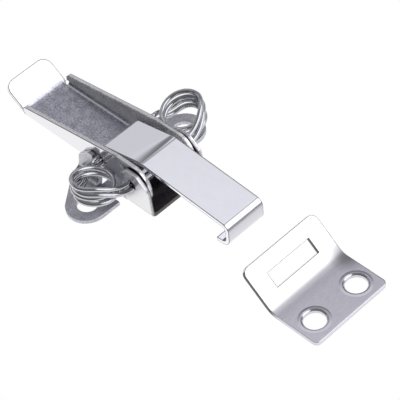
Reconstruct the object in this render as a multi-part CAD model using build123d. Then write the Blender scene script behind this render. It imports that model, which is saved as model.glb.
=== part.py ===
from build123d import *
import math
import os

# Spring latch: a base with two ears, a lever, a draw hook, two wire springs and a loose keeper plate.
# Everything is in millimetres. The origin lies on the mounting plane, midway between the two ear holes.
# +X points from the handle toward the keeper, +Y to the far side and +Z up.

# Sheet, folds and running fits
SHEET = 1.2
BEND = 1.0
SIDE_PLAY = 0.3
BORE_PLAY = 0.06

# Blanks are this much longer than the outline that trims them
TRIM = 1.0

# Spring wire: two wires run side by side as a pair and share every bore
WIRE = 1.4
PAIR_DX = 0.54
PAIR_DZ = 0.76
PAIR_R = math.hypot(PAIR_DX, PAIR_DZ) + WIRE / 2
BORE_R = PAIR_R + BORE_PLAY

# Hinges, as X and Z: the lever turns in the base, the hook turns on the lever
PIVOT = (10.3, 9.1)
EYE = (-3.2, 8.9)

# Lever: a channel, open at the top, whose sides rise toward the front
LEVER_HALF = 8.9
LEVER_UNDERSIDE = 3.9
LEVER_REAR = -36.4
LEVER_REAR_TOP = 8.3
LEVER_TOP = 14.5
LEVER_TOP_START = 3.0
LEVER_FLOOR_FRONT = 9.0
LEVER_CORNER = 1.4
LEVER_TOP_BLEND = 12.0
NOSE_R = LEVER_TOP - PIVOT[1]
NOSE_TOP_ROUND = 0.98
NOSE_BOTTOM_ROUND = 0.6
TAB_HALF = 7.9
TAB_LENGTH = 10.1
TAB_ANGLE = 36.0
TAB_CORNER = 3.0
TAB_RELIEF_R = 0.9

# Base: a floor with lugs folded up at the front, flat ears, and wings folded up behind the ears
BASE_INSIDE = LEVER_HALF + SIDE_PLAY
BASE_HALF = BASE_INSIDE + SHEET
EAR_SPACING = 37.0
EAR_HOLE_R = 3.1
EAR_TIP_R = 6.3
EAR_SLOT = 1.1
LUG_REAR = EAR_TIP_R + EAR_SLOT
NOTCH_R = 1.3
NOTCH_DEPTH = 2.8
LUG_FRONT = 17.0
LUG_TOP = 13.8
LUG_FRONT_SLOPE = 0.2
LUG_FRONT_FLAT = 3.6
LUG_CORNER_CUT = 4.2
LUG_CORNER = 2.4
LUG_HEAD_REAR = LUG_REAR - 0.9
LUG_HEAD_CUT = 2.1
LUG_HEAD_DROP = 2.2
LUG_HEAD_UNDERSIDE = LUG_TOP - 5.4
LUG_TOP_CORNER = 2.0
LUG_REAR_CORNER = 1.0
WING_REAR = -12.6
WING_REAR_TOP = 6.9
WING_TOP = 10.2
WING_BEND = 2.2
WING_SLOPE = 5.6
WING_SLOPE_START = 1.2
WING_CORNER = 1.2
WING_CLEARANCE = 0.5
SWING_R = math.dist(PIVOT, EYE) + PAIR_R + WING_CLEARANCE

# Draw hook: an eye at the rear, a blade with a low ridge and a lip at the front
HOOK_HALF = 6.5
RIDGE = (11.3, 14.85)
HOOK_FRONT = (43.9, 12.4)
HOOK_DROP = 8.0
HOOK_LIP = 4.6
HOOK_FACE_SLOPE = 0.4
HOOK_LIP_SLOPE = 0.2
HOOK_BEND = 1.1
LIP_BEND = 1.8
RIDGE_BEND = 2.0
EYE_OPENING = 75.0

# Coils of the springs, one stack on each side. Turns of the two wires alternate, a ring step apart
COIL_R = 5.7
COIL_CLEARANCE = 0.4
COIL_Y = BASE_HALF + COIL_CLEARANCE + WIRE / 2 + COIL_R
NEAR_COIL = (3.2, COIL_Y, 12.3)
FAR_COIL = (2.5, COIL_Y, 12.3)
COIL_TURNS = 1.5
COIL_LEAN = 12.0
RING_STEP = 1.7
RING_SIDE = 0.75
COIL_PITCH = 2 * RING_STEP
COIL_STEP = 45

# Legs of the springs: straight through the bores, then splayed into the first turn of the coil.
# The rear leg hangs back behind the rings as it climbs to its stub, which ends inside the hook's eye.
STRAIGHT_PROUD = 0.6
STRAIGHT_END = BASE_HALF + STRAIGHT_PROUD
LEG_START = 0.5
LEG_SPLAY = 30.0
REAR_LEG_BACK = 0.6
REAR_LEG_RISE = 0.3
REAR_LEG_REACH = 0.5
STUB_END = 2.5

# Keeper plate
KEEPER_FOLD_X = 65.3
KEEPER_HALF = 13.5
KEEPER_LENGTH = 15.9
KEEPER_TAB = 13.3
KEEPER_ANGLE = 41.9
KEEPER_BEND = 4.5
KEEPER_HOLE_X = 9.9
KEEPER_SPACING = 15.75
KEEPER_HOLE_R = 3.1
KEEPER_CORNER = 1.5
KEEPER_TAB_CORNER = 2.2
SLOT_START = 4.1
SLOT_END = 8.75
SLOT_HALF = 7.85
HOLE_CHAMFER = 0.35


def unit_normal(start, end):
    """Left-hand normal of the step from start to end."""
    dx, dz = end[0] - start[0], end[1] - start[1]
    length = math.hypot(dx, dz)
    return (-dz / length, dx / length)


def offset_chain(points, distance):
    """Shift an open chain sideways, keeping every leg parallel."""
    shifted = []
    for i, (x, z) in enumerate(points):
        normals = []
        if i > 0:
            normals.append(unit_normal(points[i - 1], points[i]))
        if i < len(points) - 1:
            normals.append(unit_normal(points[i], points[i + 1]))
        nx = sum(n[0] for n in normals) / len(normals)
        nz = sum(n[1] for n in normals) / len(normals)
        reach = distance / (nx * nx + nz * nz)
        shifted.append((x + nx * reach, z + nz * reach))
    return shifted


def rounded_face(plane, corners):
    """Face on a plane from corners given as (x, z, radius)."""
    with BuildSketch(plane) as sketch:
        with BuildLine():
            Polyline(*[(x, z) for x, z, _ in corners], close=True)
        make_face()
        for x, z, radius in corners:
            if radius > 0:
                fillet(sketch.vertices().sort_by_distance(Vector(x, z, 0))[0], radius)
    return sketch.sketch


def strip_face(plane, points, bends):
    """Section of a folded sheet: points run along its left face, bends are inside radii."""
    inner = offset_chain(points, -SHEET)
    left_radii = [0]
    right_radii = [0]
    for i, bend in enumerate(bends):
        before = unit_normal(points[i], points[i + 1])
        after = unit_normal(points[i + 1], points[i + 2])
        turns_left = before[0] * after[1] - before[1] * after[0] > 0
        left_radii.append(bend if turns_left else bend + SHEET)
        right_radii.append(bend + SHEET if turns_left else bend)
    left_radii.append(0)
    right_radii.append(0)
    left = [(x, z, r) for (x, z), r in zip(points, left_radii)]
    right = [(x, z, r) for (x, z), r in zip(inner, right_radii)]
    return rounded_face(plane, left + right[::-1])


def channel(half, underside, top, x0, x1):
    """U-shaped sheet along X with its floor at the bottom."""
    outside = [(half, top), (half, underside), (-half, underside), (-half, top)]
    section = strip_face(Plane.YZ.offset(x0), outside, [BEND, BEND])
    return extrude(section, x1 - x0)


def side_mask(corners, y0, y1):
    """Prism over an X and Z outline, from y0 up to y1."""
    return extrude(rounded_face(Plane.XZ.offset(-y1), corners), y1 - y0)


def cross_bore(centre, radius):
    """Bore along Y through everything at this X and Z."""
    return Pos(centre[0], 0, centre[1]) * Rot(90, 0, 0) * Cylinder(radius, 6 * BASE_HALF)


def both_sides(solid):
    """A solid together with its mirror image across the middle plane."""
    return solid + mirror(solid, Plane.XZ)


def tangent_angle(centre, radius, point, turn):
    """Angle on a circle where a line from the outside point touches it."""
    dx, dy = point[0] - centre[0], point[1] - centre[1]
    return math.atan2(dy, dx) + turn * math.acos(radius / math.hypot(dx, dy))


def make_base():
    """Floor, lugs, ears and wings, folded from one sheet."""
    ear_y = EAR_SPACING / 2
    floor_half = BASE_INSIDE - BEND
    bend_line = BASE_HALF + WING_BEND
    floor_rear = PIVOT[0] - math.sqrt(SWING_R ** 2 - PIVOT[1] ** 2)

    # Lugs stand at the front, with rounded heads over the pivot bore
    lug_outline = [
        (LUG_REAR, 0, 0),
        (LUG_FRONT, 0, 0),
        (LUG_FRONT - LUG_FRONT_SLOPE, LUG_TOP - LUG_FRONT_FLAT, LUG_CORNER),
        (LUG_FRONT - LUG_CORNER_CUT, LUG_TOP, LUG_CORNER),
        (LUG_HEAD_REAR + LUG_HEAD_CUT, LUG_TOP, LUG_TOP_CORNER),
        (LUG_HEAD_REAR, LUG_TOP - LUG_HEAD_DROP, LUG_REAR_CORNER),
        (LUG_HEAD_REAR, LUG_HEAD_UNDERSIDE, LUG_REAR_CORNER),
    ]
    lugs = channel(BASE_HALF, 0, LUG_TOP + TRIM, LUG_HEAD_REAR - TRIM, LUG_FRONT)
    lugs = lugs & side_mask(lug_outline, -2 * BASE_HALF, 2 * BASE_HALF)
    lugs = lugs - cross_bore(PIVOT, BORE_R)

    # Floor and ears lie flat on the mounting plane, with a rounded relief notch beside each lug
    notch_y = BASE_HALF + NOTCH_R / 2
    angle = tangent_angle((0, ear_y), EAR_TIP_R, (WING_REAR, bend_line), -1)
    touch = (EAR_TIP_R * math.cos(angle), ear_y + EAR_TIP_R * math.sin(angle))
    with BuildSketch(Plane.XY) as ear:
        with BuildLine():
            Line((EAR_TIP_R, 0), (EAR_TIP_R, ear_y))
            ThreePointArc((EAR_TIP_R, ear_y), (0, ear_y + EAR_TIP_R), touch)
            Polyline(touch, (WING_REAR, bend_line), (floor_rear, bend_line), (floor_rear, 0), (EAR_TIP_R, 0))
        make_face()
        with Locations((0, ear_y)):
            Circle(EAR_HOLE_R, mode=Mode.SUBTRACT)
        with Locations((EAR_TIP_R - NOTCH_DEPTH + NOTCH_R, notch_y)):
            Circle(NOTCH_R, mode=Mode.SUBTRACT)
        with Locations((EAR_TIP_R, notch_y)):
            Rectangle(2 * (NOTCH_DEPTH - NOTCH_R), 2 * NOTCH_R, mode=Mode.SUBTRACT)
    ears = both_sides(extrude(ear.sketch, SHEET))
    floor_length = LUG_FRONT - floor_rear
    floor = Pos(floor_rear + floor_length / 2, 0, SHEET / 2) * Box(floor_length, 2 * floor_half, SHEET)

    # Each wing is folded up along its ear and stops short of the path of the rear wires
    wing_chain = [(BASE_HALF, WING_TOP), (BASE_HALF, SHEET), (bend_line + BEND, SHEET)]
    wing = extrude(strip_face(Plane.YZ.offset(WING_REAR), wing_chain, [WING_BEND]), -WING_REAR)
    wing_outline = [
        (WING_REAR, 0, 0),
        (0, 0, 0),
        (0, WING_TOP, 0),
        (WING_REAR + WING_SLOPE, WING_TOP, WING_CORNER),
        (WING_REAR + WING_SLOPE_START, WING_REAR_TOP, WING_CORNER),
    ]
    wing = wing & side_mask(wing_outline, 0, bend_line)
    wing = wing - cross_bore(PIVOT, SWING_R)
    return lugs + ears + floor + both_sides(wing)


def make_lever():
    """Channel with rising sides, rounded noses at the pivot and a finger tab at the rear."""
    nose_front = PIVOT[0] + NOSE_R
    side_outline = [
        (LEVER_REAR, LEVER_UNDERSIDE, 0),
        (nose_front, LEVER_UNDERSIDE, NOSE_R * NOSE_BOTTOM_ROUND),
        (nose_front, LEVER_TOP, NOSE_R * NOSE_TOP_ROUND),
        (LEVER_TOP_START, LEVER_TOP, LEVER_TOP_BLEND),
        (LEVER_REAR, LEVER_REAR_TOP, LEVER_CORNER),
    ]
    lever = channel(LEVER_HALF, LEVER_UNDERSIDE, LEVER_TOP + TRIM, LEVER_REAR, nose_front)
    lever = lever & side_mask(side_outline, -2 * LEVER_HALF, 2 * LEVER_HALF)

    # The floor ends behind the pivot wires
    inside = LEVER_HALF - SHEET
    open_length = nose_front + TRIM - LEVER_FLOOR_FRONT
    open_front = Box(open_length, 2 * inside, 4 * LEVER_TOP)
    lever = lever - Pos(LEVER_FLOOR_FRONT + open_length / 2, 0, 0) * open_front

    # Finger tab, bent up at the rear, with round reliefs beside it
    tilt = math.radians(TAB_ANGLE)
    tab_chain = [
        (LEVER_REAR + 2 * BEND, LEVER_UNDERSIDE),
        (LEVER_REAR - BEND, LEVER_UNDERSIDE),
        (LEVER_REAR - BEND - TAB_LENGTH * math.cos(tilt), LEVER_UNDERSIDE + TAB_LENGTH * math.sin(tilt)),
    ]
    tab = extrude(strip_face(Plane.XZ, tab_chain, [BEND + SHEET]), TAB_HALF, both=True)
    tip_edges = tab.edges().filter_by(lambda e: abs(e.length - SHEET) < 1e-4).sort_by(Axis.X)[:2]
    tab = fillet(tip_edges, TAB_CORNER)
    lever = lever + tab
    for side in (-1, 1):
        lever = lever - Pos(LEVER_REAR, side * TAB_HALF, LEVER_UNDERSIDE) * Cylinder(TAB_RELIEF_R, 4 * SHEET)
    return lever - cross_bore(PIVOT, BORE_R) - cross_bore(EYE, BORE_R)


def make_hook():
    """Blade with an eye that turns on the rear wires and a lip that catches the keeper."""
    eye_r = BORE_R + SHEET
    angle = tangent_angle(EYE, eye_r, RIDGE, 1)
    start = (EYE[0] + eye_r * math.cos(angle), EYE[1] + eye_r * math.sin(angle))
    front_x, front_z = HOOK_FRONT
    blade_chain = [
        start,
        RIDGE,
        (front_x, front_z),
        (front_x - HOOK_FACE_SLOPE, front_z - HOOK_DROP),
        (front_x - HOOK_FACE_SLOPE - HOOK_LIP, front_z - HOOK_DROP - HOOK_LIP_SLOPE),
    ]
    section = strip_face(Plane.XZ, blade_chain, [RIDGE_BEND, HOOK_BEND, LIP_BEND])
    blade = extrude(section, HOOK_HALF, both=True)
    ring = Rot(90, 0, 0) * (Cylinder(eye_r, 2 * HOOK_HALF) - Cylinder(BORE_R, 4 * HOOK_HALF))
    opening = math.radians(EYE_OPENING)
    wedge = [(0, 0, 0)]
    for turn in (angle, angle - opening / 2, angle - opening):
        wedge.append((2 * eye_r * math.cos(turn), 2 * eye_r * math.sin(turn), 0))
    ring = ring - side_mask(wedge, -HOOK_HALF, HOOK_HALF)
    return blade + Pos(EYE[0], 0, EYE[1]) * ring


def half_wire(dx, dz, coil_centre):
    """Points of one side of a spring, from the cross bar out to the coil and back to the rear stub."""
    bar_x, bar_z = PIVOT[0] + dx, PIVOT[1] + dz
    stub_x, stub_z = EYE[0] + dx, EYE[1] + dz
    centre_x, centre_y, centre_z = coil_centre
    lean = math.tan(math.radians(COIL_LEAN))
    ring_shift = math.copysign(RING_STEP / 2, dz)
    side_shift = math.copysign(RING_SIDE / 2, dx)
    coil = []
    steps = round((360 * COIL_TURNS - LEG_SPLAY) / COIL_STEP)
    for i in range(steps + 1):
        angle = math.radians(LEG_SPLAY + (360 * COIL_TURNS - LEG_SPLAY) * i / steps)
        rise = COIL_R * math.sin(angle)
        drop = COIL_PITCH * angle / (2 * math.pi)
        height = centre_z + ring_shift - drop + rise * lean
        coil.append((centre_x + side_shift + COIL_R * math.cos(angle), centre_y + rise, height))
    bar = [(bar_x, STRAIGHT_END, bar_z), (bar_x, STRAIGHT_END + LEG_START, bar_z)]
    end_z = coil[-1][2]
    turned_in = (
        stub_x - REAR_LEG_BACK,
        centre_y - REAR_LEG_REACH * COIL_R,
        end_z + REAR_LEG_RISE * (stub_z - end_z),
    )
    stub = [(stub_x, STRAIGHT_END + LEG_START, stub_z), (stub_x, STRAIGHT_END, stub_z)]
    return bar + coil + [turned_in] + stub


def wire_path(dx, dz):
    """Centre line of one spring: stub, coil, cross bar through the pivot, coil and stub."""
    near = [Vector(x, -y, z) for x, y, z in half_wire(dx, dz, NEAR_COIL)][::-1]
    far = [Vector(x, y, z) for x, y, z in half_wire(dx, dz, FAR_COIL)]
    return Wire([
        Edge.make_line(Vector(near[0].X, -STUB_END, near[0].Z), near[0]),
        Edge.make_spline(near),
        Edge.make_line(near[-1], far[0]),
        Edge.make_spline(far),
        Edge.make_line(far[-1], Vector(far[-1].X, STUB_END, far[-1].Z)),
    ])


def make_spring(dx, dz):
    """One wire, bent into a hairpin with a coil on each side of the base."""
    path = wire_path(dx, dz)
    profile = Plane(origin=path @ 0, z_dir=path % 0) * Circle(WIRE / 2)
    return sweep(profile, path=path)


def make_keeper():
    """Plate with two screw holes and a slotted tab that leans toward the latch."""
    tilt = math.radians(KEEPER_ANGLE)
    fold = (KEEPER_FOLD_X, SHEET)
    tip = (fold[0] - KEEPER_TAB * math.cos(tilt), fold[1] + KEEPER_TAB * math.sin(tilt))
    front = (fold[0] + KEEPER_LENGTH, SHEET)
    keeper = extrude(strip_face(Plane.XZ, [tip, fold, front], [KEEPER_BEND]), KEEPER_HALF, both=True)
    corners = keeper.edges().filter_by(lambda e: abs(e.length - SHEET) < 1e-4).sort_by(Axis.X)
    keeper = fillet(corners[:2], KEEPER_TAB_CORNER)
    corners = keeper.edges().filter_by(lambda e: abs(e.length - SHEET) < 1e-4).sort_by(Axis.X)
    keeper = fillet(corners[-2:], KEEPER_CORNER)
    slot = Box(SLOT_END - SLOT_START, 2 * SLOT_HALF, 6 * SHEET)
    slot_frame = Pos(fold[0], 0, fold[1]) * Rot(0, KEEPER_ANGLE, 0)
    keeper = keeper - slot_frame * Pos(-(SLOT_START + SLOT_END) / 2, 0, 0) * slot
    for side in (-1, 1):
        spot = Pos(fold[0] + KEEPER_HOLE_X, side * KEEPER_SPACING / 2, 0)
        keeper = keeper - spot * Cylinder(KEEPER_HOLE_R, 4 * SHEET)
        rim = Cone(KEEPER_HOLE_R, KEEPER_HOLE_R + 2 * HOLE_CHAMFER, 2 * HOLE_CHAMFER)
        keeper = keeper - spot * Pos(0, 0, SHEET) * rim
    return keeper


nodes = {
    "base": make_base(),
    "lever": make_lever(),
    "draw_hook": make_hook(),
    "spring_upper": make_spring(-PAIR_DX, PAIR_DZ),
    "spring_lower": make_spring(PAIR_DX, -PAIR_DZ),
    "keeper_plate": make_keeper(),
}
os.makedirs("parts", exist_ok=True)
for name, solid in nodes.items():
    solid.label = name
    export_step(solid, f"parts/{name}.step")
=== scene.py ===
import math
import bmesh
import bpy
from mathutils import Matrix, Vector


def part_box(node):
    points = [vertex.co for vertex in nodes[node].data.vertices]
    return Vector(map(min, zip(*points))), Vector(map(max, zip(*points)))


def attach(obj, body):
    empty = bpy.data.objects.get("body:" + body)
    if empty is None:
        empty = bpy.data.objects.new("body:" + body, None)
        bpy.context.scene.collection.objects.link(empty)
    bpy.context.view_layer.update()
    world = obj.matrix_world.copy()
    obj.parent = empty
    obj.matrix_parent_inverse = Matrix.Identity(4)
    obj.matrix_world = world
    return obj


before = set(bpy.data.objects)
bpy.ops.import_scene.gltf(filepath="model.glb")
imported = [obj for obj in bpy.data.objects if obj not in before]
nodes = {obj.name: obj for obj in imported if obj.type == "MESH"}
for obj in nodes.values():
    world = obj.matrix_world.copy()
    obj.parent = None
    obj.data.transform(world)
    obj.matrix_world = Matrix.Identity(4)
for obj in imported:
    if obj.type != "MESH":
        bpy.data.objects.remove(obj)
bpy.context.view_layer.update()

# Base: one steel sheet folded into a floor, two lugs, two flat ears with a hole each, and two wings.
# It is tumbled to a cloudy mid grey and rubbed bright on its corners, with a painted highlight on the
# outside of the lugs and painted shade in the channel between them. In use, screws through the ears
# hold it down.

# Sizes are in metres. The channel takes the lever with a little play on each side.
# A pair is the place where a mask starts and the place where it is full, a few skins off a face.
sheet = 0.0012
bend = 0.0010
side_play = 0.0003
skin = 0.0001
lever_low, lever_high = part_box("lever")
base_inside = lever_high.y + side_play
base_outside = base_inside + sheet
above_floor = (sheet + skin, sheet + bend)
outside_lug = (base_outside - 4 * skin, base_outside - skin)
inside_channel = (base_inside + 5 * skin, base_inside + skin)
from_lug_rear = (0.0058, 0.0068)


def fill(socket, value):
    """Set a socket to a plain value, or link it where the value is an output of another node."""
    if isinstance(value, bpy.types.NodeSocket):
        socket.id_data.links.new(value, socket)
    else:
        socket.default_value = value


def new_group(name, inputs, outputs):
    """A node group with its inputs and outputs, each given as a name and a kind of socket."""
    group = bpy.data.node_groups.new(name, "ShaderNodeTree")
    for way, sockets in (("INPUT", inputs), ("OUTPUT", outputs)):
        for label, kind in sockets:
            group.interface.new_socket(label, in_out=way, socket_type="NodeSocket" + kind)
    given = group.nodes.new("NodeGroupInput").outputs
    result = group.nodes.new("NodeGroupOutput").inputs
    return group, given, result


def place_on_piece(tree):
    """The place on the piece, in metres."""
    return tree.nodes.new("ShaderNodeTexCoord").outputs["Object"]


def way_it_faces(tree):
    """The direction that the flat sheet faces, before its corners are rounded."""
    return tree.nodes.new("ShaderNodeNewGeometry").outputs["True Normal"]


def on_vectors(operation, first, second):
    """The outputs of a sum on two vectors, the first of them an output of another node."""
    node = first.id_data.nodes.new("ShaderNodeVectorMath")
    node.operation = operation
    fill(node.inputs[0], first)
    fill(node.inputs[1], second)
    return node.outputs


def band(value, start, end, low=0.0, high=1.0, soft=False):
    """A level that goes from low to high while the value goes from start to end."""
    node = value.id_data.nodes.new("ShaderNodeMapRange")
    if soft:
        node.interpolation_type = "SMOOTHSTEP"
    fill(node.inputs["Value"], value)
    fill(node.inputs["From Min"], start)
    fill(node.inputs["From Max"], end)
    fill(node.inputs["To Min"], low)
    fill(node.inputs["To Max"], high)
    return node.outputs["Result"]


# Grain of tumbled or rolled sheet. Scale is in cells per metre, and a Stretch below 1 draws them out.
# Tone is the fine grain, Patches are wide clouds, and Mottle is the grain with some cloud in it.
fine_detail = 4.0
fine_roughness = 0.65
cloud_scale = 420.0
cloud_detail = 3.0
cloud_share = 0.25
grain, given, result = new_group(
    "sheet_grain",
    (("Scale", "Float"), ("Stretch", "Vector")),
    (("Tone", "Float"), ("Patches", "Float"), ("Mottle", "Float")),
)
place = place_on_piece(grain)
fine = grain.nodes.new("ShaderNodeTexNoise")
fill(fine.inputs["Vector"], on_vectors("MULTIPLY", place, given["Stretch"])["Vector"])
fill(fine.inputs["Scale"], given["Scale"])
fill(fine.inputs["Detail"], fine_detail)
fill(fine.inputs["Roughness"], fine_roughness)
cloud = grain.nodes.new("ShaderNodeTexNoise")
fill(cloud.inputs["Vector"], place)
fill(cloud.inputs["Scale"], cloud_scale)
fill(cloud.inputs["Detail"], cloud_detail)
mottle = grain.nodes.new("ShaderNodeMix")
fill(mottle.inputs["Factor"], cloud_share)
fill(mottle.inputs["A"], fine.outputs["Fac"])
fill(mottle.inputs["B"], cloud.outputs["Fac"])
fill(result["Tone"], fine.outputs["Fac"])
fill(result["Patches"], cloud.outputs["Fac"])
fill(result["Mottle"], mottle.outputs["Result"])

# Corners of the sheet worn round over a Radius in metres. Normal is the rounded one.
# Edge is 0 on the flat and 1 on the corner, told by how well the two normals agree.
# Edge gives rubbed wear on the base, and painted shade on the corners of the lever, hook and keeper.
bevel_samples = 8
agreement_on_flat = 0.995
agreement_on_corner = 0.86
corners, given, result = new_group(
    "sheet_edges",
    (("Radius", "Float"),),
    (("Normal", "Vector"), ("Edge", "Float")),
)
rounded = corners.nodes.new("ShaderNodeBevel")
rounded.samples = bevel_samples
fill(rounded.inputs["Radius"], given["Radius"])
agreement = on_vectors("DOT_PRODUCT", rounded.outputs["Normal"], way_it_faces(corners))["Value"]
fill(result["Normal"], rounded.outputs["Normal"])
fill(result["Edge"], band(agreement, agreement_on_flat, agreement_on_corner))


def new_steel(name):
    """A metal material, its node tree and the inputs of its shader."""
    steel = bpy.data.materials.new(name)
    steel.use_nodes = True
    surface = steel.node_tree.nodes["Principled BSDF"].inputs
    surface["Metallic"].default_value = 1.0
    return steel, steel.node_tree, surface


def use_group(tree, group, **values):
    """Place a node group in a tree with its inputs set, and give its outputs."""
    placed = tree.nodes.new("ShaderNodeGroup")
    placed.node_tree = group
    for label, value in values.items():
        placed.inputs[label].default_value = value
    return placed.outputs


def parts_of(vector):
    """The X, Y and Z of a vector."""
    split = vector.id_data.nodes.new("ShaderNodeSeparateXYZ")
    fill(split.inputs["Vector"], vector)
    return split.outputs["X"], split.outputs["Y"], split.outputs["Z"]


def work_out(operation, first, *others, clamp=False):
    """The result of a sum on numbers, the first of them an output of another node."""
    node = first.id_data.nodes.new("ShaderNodeMath")
    node.operation = operation
    node.use_clamp = clamp
    for socket, value in zip(node.inputs, (first, *others)):
        fill(socket, value)
    return node.outputs["Value"]


def both(first, second):
    """A mask that is 1 where two masks are."""
    return work_out("MULTIPLY", first, second)


def between(mask, levels):
    """The first of two levels where the mask is 0, and the second where it is 1."""
    return band(mask, 0.0, 1.0, *levels)


def tones(value, stops):
    """A colour for each value. A stop is a place from 0 to 1 and the colour there."""
    node = value.id_data.nodes.new("ShaderNodeValToRGB")
    fill(node.inputs["Fac"], value)
    first, *middle, last = stops
    for element, (position, color) in zip(node.color_ramp.elements, (first, last)):
        element.position = position
        element.color = color
    for position, color in middle:
        node.color_ramp.elements.new(position).color = color
    return node.outputs["Color"]


def cover(mask, under, over):
    """One colour over another where the mask is 1."""
    node = mask.id_data.nodes.new("ShaderNodeMix")
    node.data_type = "RGBA"
    fill(node.inputs["Factor"], mask)
    fill(node.inputs["A"], under)
    fill(node.inputs["B"], over)
    return node.outputs["Result"]


def relief(height, distance, strength, normal, sink=False):
    """A normal for a surface that rises by the distance, or sinks by it, where the height is 1."""
    node = height.id_data.nodes.new("ShaderNodeBump")
    node.invert = sink
    fill(node.inputs["Height"], height)
    fill(node.inputs["Distance"], distance)
    fill(node.inputs["Strength"], strength)
    fill(node.inputs["Normal"], normal)
    return node.outputs["Normal"]


def dress(name, steel):
    """Put a material on every slot of a CAD node."""
    for held in nodes[name].material_slots:
        held.material = steel


even_grain = (1.0, 1.0, 1.0)
grain_depth = 0.00006
base_grain = 2600.0
base_relief = 0.16
base_corner = 0.00022
base_roughness = (0.24, 0.44)
base_tones = ((0.34, (0.30, 0.30, 0.33, 1)), (0.68, (0.76, 0.75, 0.83, 1)))
rubbed_corner = (0.95, 0.95, 0.98, 1)
painted_lug_highlight = (0.88, 0.88, 0.89, 1)
painted_channel_shade = (0.11, 0.10, 0.10, 1)

base_steel, tree, surface = new_steel("base_tumbled_steel")
sheet_grain = use_group(tree, grain, Scale=base_grain, Stretch=even_grain)
rounded_edges = use_group(tree, corners, Radius=base_corner)
x, y, z = parts_of(place_on_piece(tree))
side = work_out("ABSOLUTE", y)
front = band(x, *from_lug_rear)
lug = both(both(band(z, *above_floor), band(side, *outside_lug)), front)
channel = both(front, band(side, *inside_channel))
color = tones(sheet_grain["Mottle"], base_tones)
color = cover(rounded_edges["Edge"], color, rubbed_corner)
# Painted highlight: the outside of the lugs is coloured brighter, as if lit.
color = cover(lug, color, painted_lug_highlight)
# Painted shade: the channel between the lugs is coloured dark.
color = cover(channel, color, painted_channel_shade)
fill(surface["Base Color"], color)
fill(surface["Roughness"], between(sheet_grain["Patches"], base_roughness))
fill(surface["Normal"], relief(sheet_grain["Tone"], grain_depth, base_relief, rounded_edges["Normal"]))
dress("base", base_steel)

# Lever: one steel sheet folded into a channel, with a finger tab bent up at the rear.
# Tumbling left its inside coarse and grey, with painted light on the inner walls and a painted
# highlight along each fold. The outside and the tab are smooth, with painted shade on their corners.
# The spring wires pass through its sides and carry it.
lever_half = lever_high.y
lever_floor = lever_low.z + sheet
outside_lever = (lever_half - 10 * skin, lever_half - 3 * skin)
up_the_wall = (lever_floor + 7 * skin, lever_floor + 15 * skin)
along_the_tab = (-0.0370, -0.0398)
fold_side = lever_half - sheet - bend / 2
fold_side_reach = 0.00019
fold_height = lever_floor + 3 * skin
fold_height_reach = 4 * skin
lever_grain = 2200.0
lever_relief = 0.2
lever_corner = 0.0005
lever_roughness = (0.42, 0.15)
wall_metallic = (1.0, 0.15)
floor_tones = ((0.38, (0.30, 0.30, 0.345, 1)), (0.62, (0.72, 0.72, 0.82, 1)))
lit_wall_tones = ((0.38, (0.52, 0.52, 0.55, 1)), (0.60, (1.0, 1.0, 1.0, 1)))
smooth_lever = (0.86, 0.86, 0.88, 1)
painted_fold_highlight = (0.98, 0.98, 1.0, 1)
painted_lever_corner_shade = (0.10, 0.10, 0.11, 1)

lever_steel, tree, surface = new_steel("lever_tumbled_steel")
sheet_grain = use_group(tree, grain, Scale=lever_grain, Stretch=even_grain)
rounded_edges = use_group(tree, corners, Radius=lever_corner)
x, y, z = parts_of(place_on_piece(tree))
side = work_out("ABSOLUTE", y)
smooth = work_out("MAXIMUM", band(side, *outside_lever), band(x, *along_the_tab))
wall = band(z, *up_the_wall)
inner_wall = work_out("SUBTRACT", wall, smooth, clamp=True)
beside_fold = work_out("COMPARE", side, fold_side, fold_side_reach)
by_floor = work_out("COMPARE", z, fold_height, fold_height_reach)
floor_color = tones(sheet_grain["Mottle"], floor_tones)
# Painted light: the inner walls get a lighter copy of the floor's tones, as if lit.
lit_wall_color = tones(sheet_grain["Mottle"], lit_wall_tones)
color = cover(wall, floor_color, lit_wall_color)
color = cover(smooth, color, smooth_lever)
# Painted highlight: a bright line along each inner fold.
color = cover(both(beside_fold, by_floor), color, painted_fold_highlight)
# Painted shade on the corners of the smooth outside and the tab.
color = cover(both(rounded_edges["Edge"], smooth), color, painted_lever_corner_shade)
fill(surface["Base Color"], color)
fill(surface["Metallic"], between(inner_wall, wall_metallic))
fill(surface["Roughness"], between(smooth, lever_roughness))
fill(surface["Normal"], relief(sheet_grain["Tone"], grain_depth, lever_relief, rounded_edges["Normal"]))
dress("lever", lever_steel)

# Draw hook: one polished steel strip with an eye rolled at the rear, a low ridge and a bent lip.
# Faint rolling marks run lengthwise. The slope behind the ridge rolls over softly before it, later
# on the far side. The front face has painted shade that deepens toward its bend, and the corners have
# painted shade too. The eye hangs on the spring wires.
slope_start = 0.0062
slope_slant = 0.32
slope_power = 2.2
slope_depth = 0.00036
slope_strength = 1.0
ridge = 0.0113
front_facing = (0.72, 0.90)
front_height = (0.0040, 0.0124)
front_shades = ((0.0, (0.20, 0.20, 0.20, 1)), (0.74, (0.42, 0.42, 0.42, 1)), (0.92, (1.0, 1.0, 1.0, 1)))
hook_grain = 1500.0
hook_stretch = (0.12, 1.0, 1.0)
hook_corner = 0.0005
hook_roughness = (0.08, 0.16)
hook_tones = ((0.0, (0.92, 0.92, 0.98, 1)), (1.0, (0.95, 0.95, 1.0, 1)))
painted_front_shade = (0.22, 0.22, 0.24, 1)
painted_hook_corner_shade = (0.12, 0.12, 0.13, 1)

hook_steel, tree, surface = new_steel("hook_polished_steel")
sheet_grain = use_group(tree, grain, Scale=hook_grain, Stretch=hook_stretch)
rounded_edges = use_group(tree, corners, Radius=hook_corner)
x, y, z = parts_of(place_on_piece(tree))
forward = band(parts_of(way_it_faces(tree))[0], *front_facing)
front_shade = tones(band(z, *front_height), front_shades)
color = tones(sheet_grain["Tone"], hook_tones)
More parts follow.
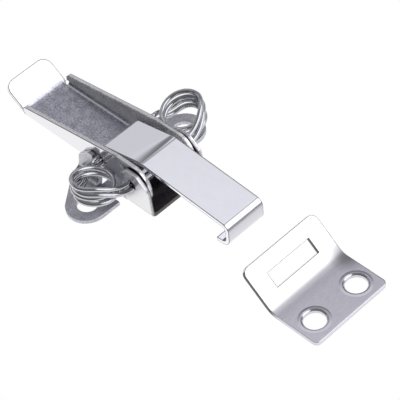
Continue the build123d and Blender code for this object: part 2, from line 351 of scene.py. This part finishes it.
# Painted shade on the front face, deepening toward its bend.
color = cover(both(front_shade, forward), color, painted_front_shade)
# Painted shade on the corners of the strip.
color = cover(rounded_edges["Edge"], color, painted_hook_corner_shade)
slope = band(x, work_out("MULTIPLY_ADD", y, slope_slant, slope_start), ridge)
slope = work_out("POWER", slope, slope_power)
fill(surface["Base Color"], color)
fill(surface["Roughness"], between(sheet_grain["Patches"], hook_roughness))
fill(surface["Normal"], relief(slope, slope_depth, slope_strength, rounded_edges["Normal"], sink=True))
dress("draw_hook", hook_steel)

# Springs: two bent steel wires, each a hairpin with a coil on both sides of the base.
# They are drawn bright, with faint marks that vary their gloss. They lie in pairs through the holes
# of the lugs, the lever and the hook, so they are the hinge pins too.
wire_grain = 1800.0
wire_roughness = (0.07, 0.15)
wire_tones = ((0.0, (0.40, 0.40, 0.43, 1)), (1.0, (0.70, 0.70, 0.74, 1)))

wire_steel, tree, surface = new_steel("drawn_spring_wire")
drawing_marks = use_group(tree, grain, Scale=wire_grain, Stretch=even_grain)["Tone"]
fill(surface["Base Color"], tones(drawing_marks, wire_tones))
fill(surface["Roughness"], between(drawing_marks, wire_roughness))
for name in ("spring_upper", "spring_lower"):
    dress(name, wire_steel)

# Keeper plate: one rolled steel sheet with two screw holes and a slotted tab bent up at the rear.
# The flat is grey with fine marks across it and duller by the fold, with painted shade in the fold's
# far corner and a painted highlight along its front edge. The tab is coloured near-white as a painted
# highlight, with painted shade on its corners and its near face. Screws hold it in front of the latch.
keeper_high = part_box("keeper_plate")[1]
front_edge = (keeper_high.x - sheet, keeper_high.x + sheet)
front_highlight_strength = 0.35
fold_dulling = (0.0708, 0.0655)
fold_dullness = 0.26
tab_span = (0.0672, 0.0650)
fold_corner = (0.0668, keeper_high.y, sheet)
corner_fade = (0.0066, 0.0008)
corner_depth = 0.85
near_side_facing = -0.7
keeper_grain = 1700.0
keeper_stretch = (1.0, 0.3, 1.0)
keeper_corner = 0.0004
keeper_roughness = (0.14, 0.22)
keeper_tones = ((0.3, (0.66, 0.65, 0.72, 1)), (0.7, (0.73, 0.72, 0.79, 1)))
painted_front_highlight = (1.0, 1.0, 1.0, 1)
painted_tab_highlight = (0.97, 0.97, 0.98, 1)
painted_fold_corner_shade = (0.24, 0.24, 0.26, 1)
painted_tab_corner_shade = (0.15, 0.15, 0.16, 1)
painted_tab_side_shade = (0.14, 0.14, 0.15, 1)

keeper_steel, tree, surface = new_steel("keeper_rolled_steel")
sheet_grain = use_group(tree, grain, Scale=keeper_grain, Stretch=keeper_stretch)
rounded_edges = use_group(tree, corners, Radius=keeper_corner)
place = place_on_piece(tree)
x = parts_of(place)[0]
tab = band(x, *tab_span)
near_side = work_out("LESS_THAN", parts_of(way_it_faces(tree))[1], near_side_facing)
by_fold = band(x, *fold_dulling, soft=True)
by_front = band(x, *front_edge, high=front_highlight_strength, soft=True)
from_corner = on_vectors("DISTANCE", place, fold_corner)["Value"]
by_corner = band(from_corner, *corner_fade, high=corner_depth, soft=True)
color = tones(sheet_grain["Tone"], keeper_tones)
# Painted highlight: the flat pales toward white along its front edge.
color = cover(by_front, color, painted_front_highlight)
# Painted highlight: the upturned tab is coloured near-white, as if lit.
color = cover(tab, color, painted_tab_highlight)
# Painted shade in the fold's far corner.
color = cover(by_corner, color, painted_fold_corner_shade)
# Painted shade on the corners of the tab.
color = cover(both(rounded_edges["Edge"], tab), color, painted_tab_corner_shade)
# Painted shade on the tab's face toward the near side.
color = cover(both(near_side, tab), color, painted_tab_side_shade)
roughness = between(sheet_grain["Patches"], keeper_roughness)
fill(surface["Base Color"], color)
fill(surface["Roughness"], work_out("MULTIPLY_ADD", by_fold, fold_dullness, roughness))
fill(surface["Normal"], rounded_edges["Normal"])
dress("keeper_plate", keeper_steel)

# Keeper hole rims: the punch left a low smooth swelling of the same sheet round each screw hole.
# Each rim dips under the plate half way out, sinks a little into it, and moves with it.
hole_x = 0.0752
hole_y = 0.007875
rim_sunk = 0.0001
rim_rise = 0.000035
rim_inside = 0.00346
rim_outside = 0.0056
rim_width = rim_outside - rim_inside
rim_steps = 10
spin_steps = 72
merge_distance = 1e-7
facing_up = 0.5


def new_piece(name, shape, material):
    """Make an object in the scene from a bmesh and its material."""
    mesh = bpy.data.meshes.new(name)
    shape.to_mesh(mesh)
    shape.free()
    mesh.materials.append(material)
    piece = bpy.data.objects.new(name, mesh)
    bpy.context.scene.collection.objects.link(piece)
    return piece


outline = [(rim_inside, sheet - rim_sunk)]
for step in range(rim_steps + 1):
    out = step / rim_steps
    outline.append((rim_inside + out * rim_width, sheet + rim_rise * math.cos(math.pi * out)))
outline.append((rim_outside, sheet - rim_sunk))

for name, y in (("keeper_rim_near", -hole_y), ("keeper_rim_far", hole_y)):
    rim = bmesh.new()
    points = [rim.verts.new((hole_x + radius, y, height)) for radius, height in outline]
    sides = [rim.edges.new((points[i - 1], points[i])) for i in range(len(points))]
    bmesh.ops.spin(
        rim,
        geom=points + sides,
        cent=(hole_x, y, 0),
        axis=(0, 0, 1),
        angle=2 * math.pi,
        steps=spin_steps,
        use_merge=True,
    )
    bmesh.ops.remove_doubles(rim, verts=rim.verts, dist=merge_distance)
    bmesh.ops.recalc_face_normals(rim, faces=rim.faces)
    for face in rim.faces:
        face.smooth = face.normal.z > facing_up
    rim_piece = new_piece(name, rim, keeper_steel)
    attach(rim_piece, "mounting")

# Floor: a plain pale sheet of paper just below the latch, and no part of it.
# The camera and mirror reflections see it as white, as in a light tent.
paper_half = 3.0
paper_drop = 0.0002
paper_color = (0.9, 0.9, 0.9, 1)
paper_roughness = 0.9
white = (1.0, 1.0, 1.0, 1)

floor_white = bpy.data.materials.new("floor_white")
floor_white.use_nodes = True
tree = floor_white.node_tree
paper = tree.nodes["Principled BSDF"]
paper.inputs["Base Color"].default_value = paper_color
paper.inputs["Roughness"].default_value = paper_roughness
glow = tree.nodes.new("ShaderNodeEmission")
glow.inputs["Color"].default_value = white
path = tree.nodes.new("ShaderNodeLightPath").outputs
seen = tree.nodes.new("ShaderNodeMixShader")
fill(seen.inputs["Fac"], work_out("MAXIMUM", path["Is Camera Ray"], path["Is Glossy Ray"]))
fill(seen.inputs[1], paper.outputs["BSDF"])
fill(seen.inputs[2], glow.outputs["Emission"])
fill(tree.nodes["Material Output"].inputs["Surface"], seen.outputs["Shader"])

plane = bmesh.new()
bmesh.ops.create_grid(plane, x_segments=1, y_segments=1, size=paper_half)
floor = new_piece("floor", plane, floor_white)
floor.location.z = -paper_drop

# Studio: white to the camera. Reflections see a dim room, two pale panels behind the handle with
# a grey gap between them, and a bright lamp on the keeper's side.
# A stop is a height in the sky, from 0 at the horizon to 1 overhead, and the brightness there.
room_stops = ((0.0, 0.02), (0.16, 0.03), (0.34, 0.12), (1.0, 0.26))
low_panel_stops = ((0.08, 0.03), (0.2, 0.30), (0.30, 0.60), (0.45, 0.62), (0.51, 0.72))
gap_stops = ((0.58, 0.18), (0.66, 0.16), (0.71, 0.44), (0.745, 0.46))
high_panel_stops = ((0.785, 0.80), (0.92, 0.84), (1.0, 0.3))
blue_tint = 1.04
toward_panels = (-0.77, 0.64, 0.0)
panel_sides = (0.12, 0.42)
toward_lamp = (0.69, 0.40, 0.60)
lamp_sides = (0.78, 0.90)
lamp_light = (1.75, 1.75, 1.78, 1)


def light_by_height(height, stops):
    """The light at each height in the sky, slightly blue."""
    return tones(height, [(up, (level, level, level * blue_tint, 1)) for up, level in stops])


world = bpy.data.worlds.new("studio")
bpy.context.scene.world = world
world.use_nodes = True
tree = world.node_tree
direction = tree.nodes.new("ShaderNodeTexCoord").outputs["Generated"]
height = parts_of(direction)[2]
room = light_by_height(height, room_stops)
panels = light_by_height(height, low_panel_stops + gap_stops + high_panel_stops)
at_panels = band(on_vectors("DOT_PRODUCT", direction, toward_panels)["Value"], *panel_sides, soft=True)
at_lamp = band(on_vectors("DOT_PRODUCT", direction, toward_lamp)["Value"], *lamp_sides, soft=True)
seen_by_camera = tree.nodes.new("ShaderNodeLightPath").outputs["Is Camera Ray"]
light = cover(at_panels, room, panels)
light = cover(at_lamp, light, lamp_light)
light = cover(seen_by_camera, light, white)
fill(tree.nodes["Background"].inputs["Color"], light)

# Camera: a long lens, high and in front, as in the photograph.
# Right and up are the picture's own directions, fitted to marks on the latch and the keeper.
camera_place = (0.31676, -0.23053, 0.40263)
right = Vector((0.70044, 0.70640, -0.10193)).normalized()
up = Vector((-0.47331, 0.56663, 0.67447)).normalized()
turn = Matrix((right, up, right.cross(up))).transposed().to_4x4()

camera_data = bpy.data.cameras.new("camera")
camera_data.lens = 181.7
camera_data.sensor_width = 36.0
camera_data.clip_start = 0.01
camera_data.shift_x = -0.0039
camera_data.shift_y = 0.003
camera = bpy.data.objects.new("camera", camera_data)
bpy.context.scene.collection.objects.link(camera)
camera.matrix_world = Matrix.Translation(camera_place) @ turn
bpy.context.scene.camera = camera
bpy.context.scene.view_settings.view_transform = "Standard"
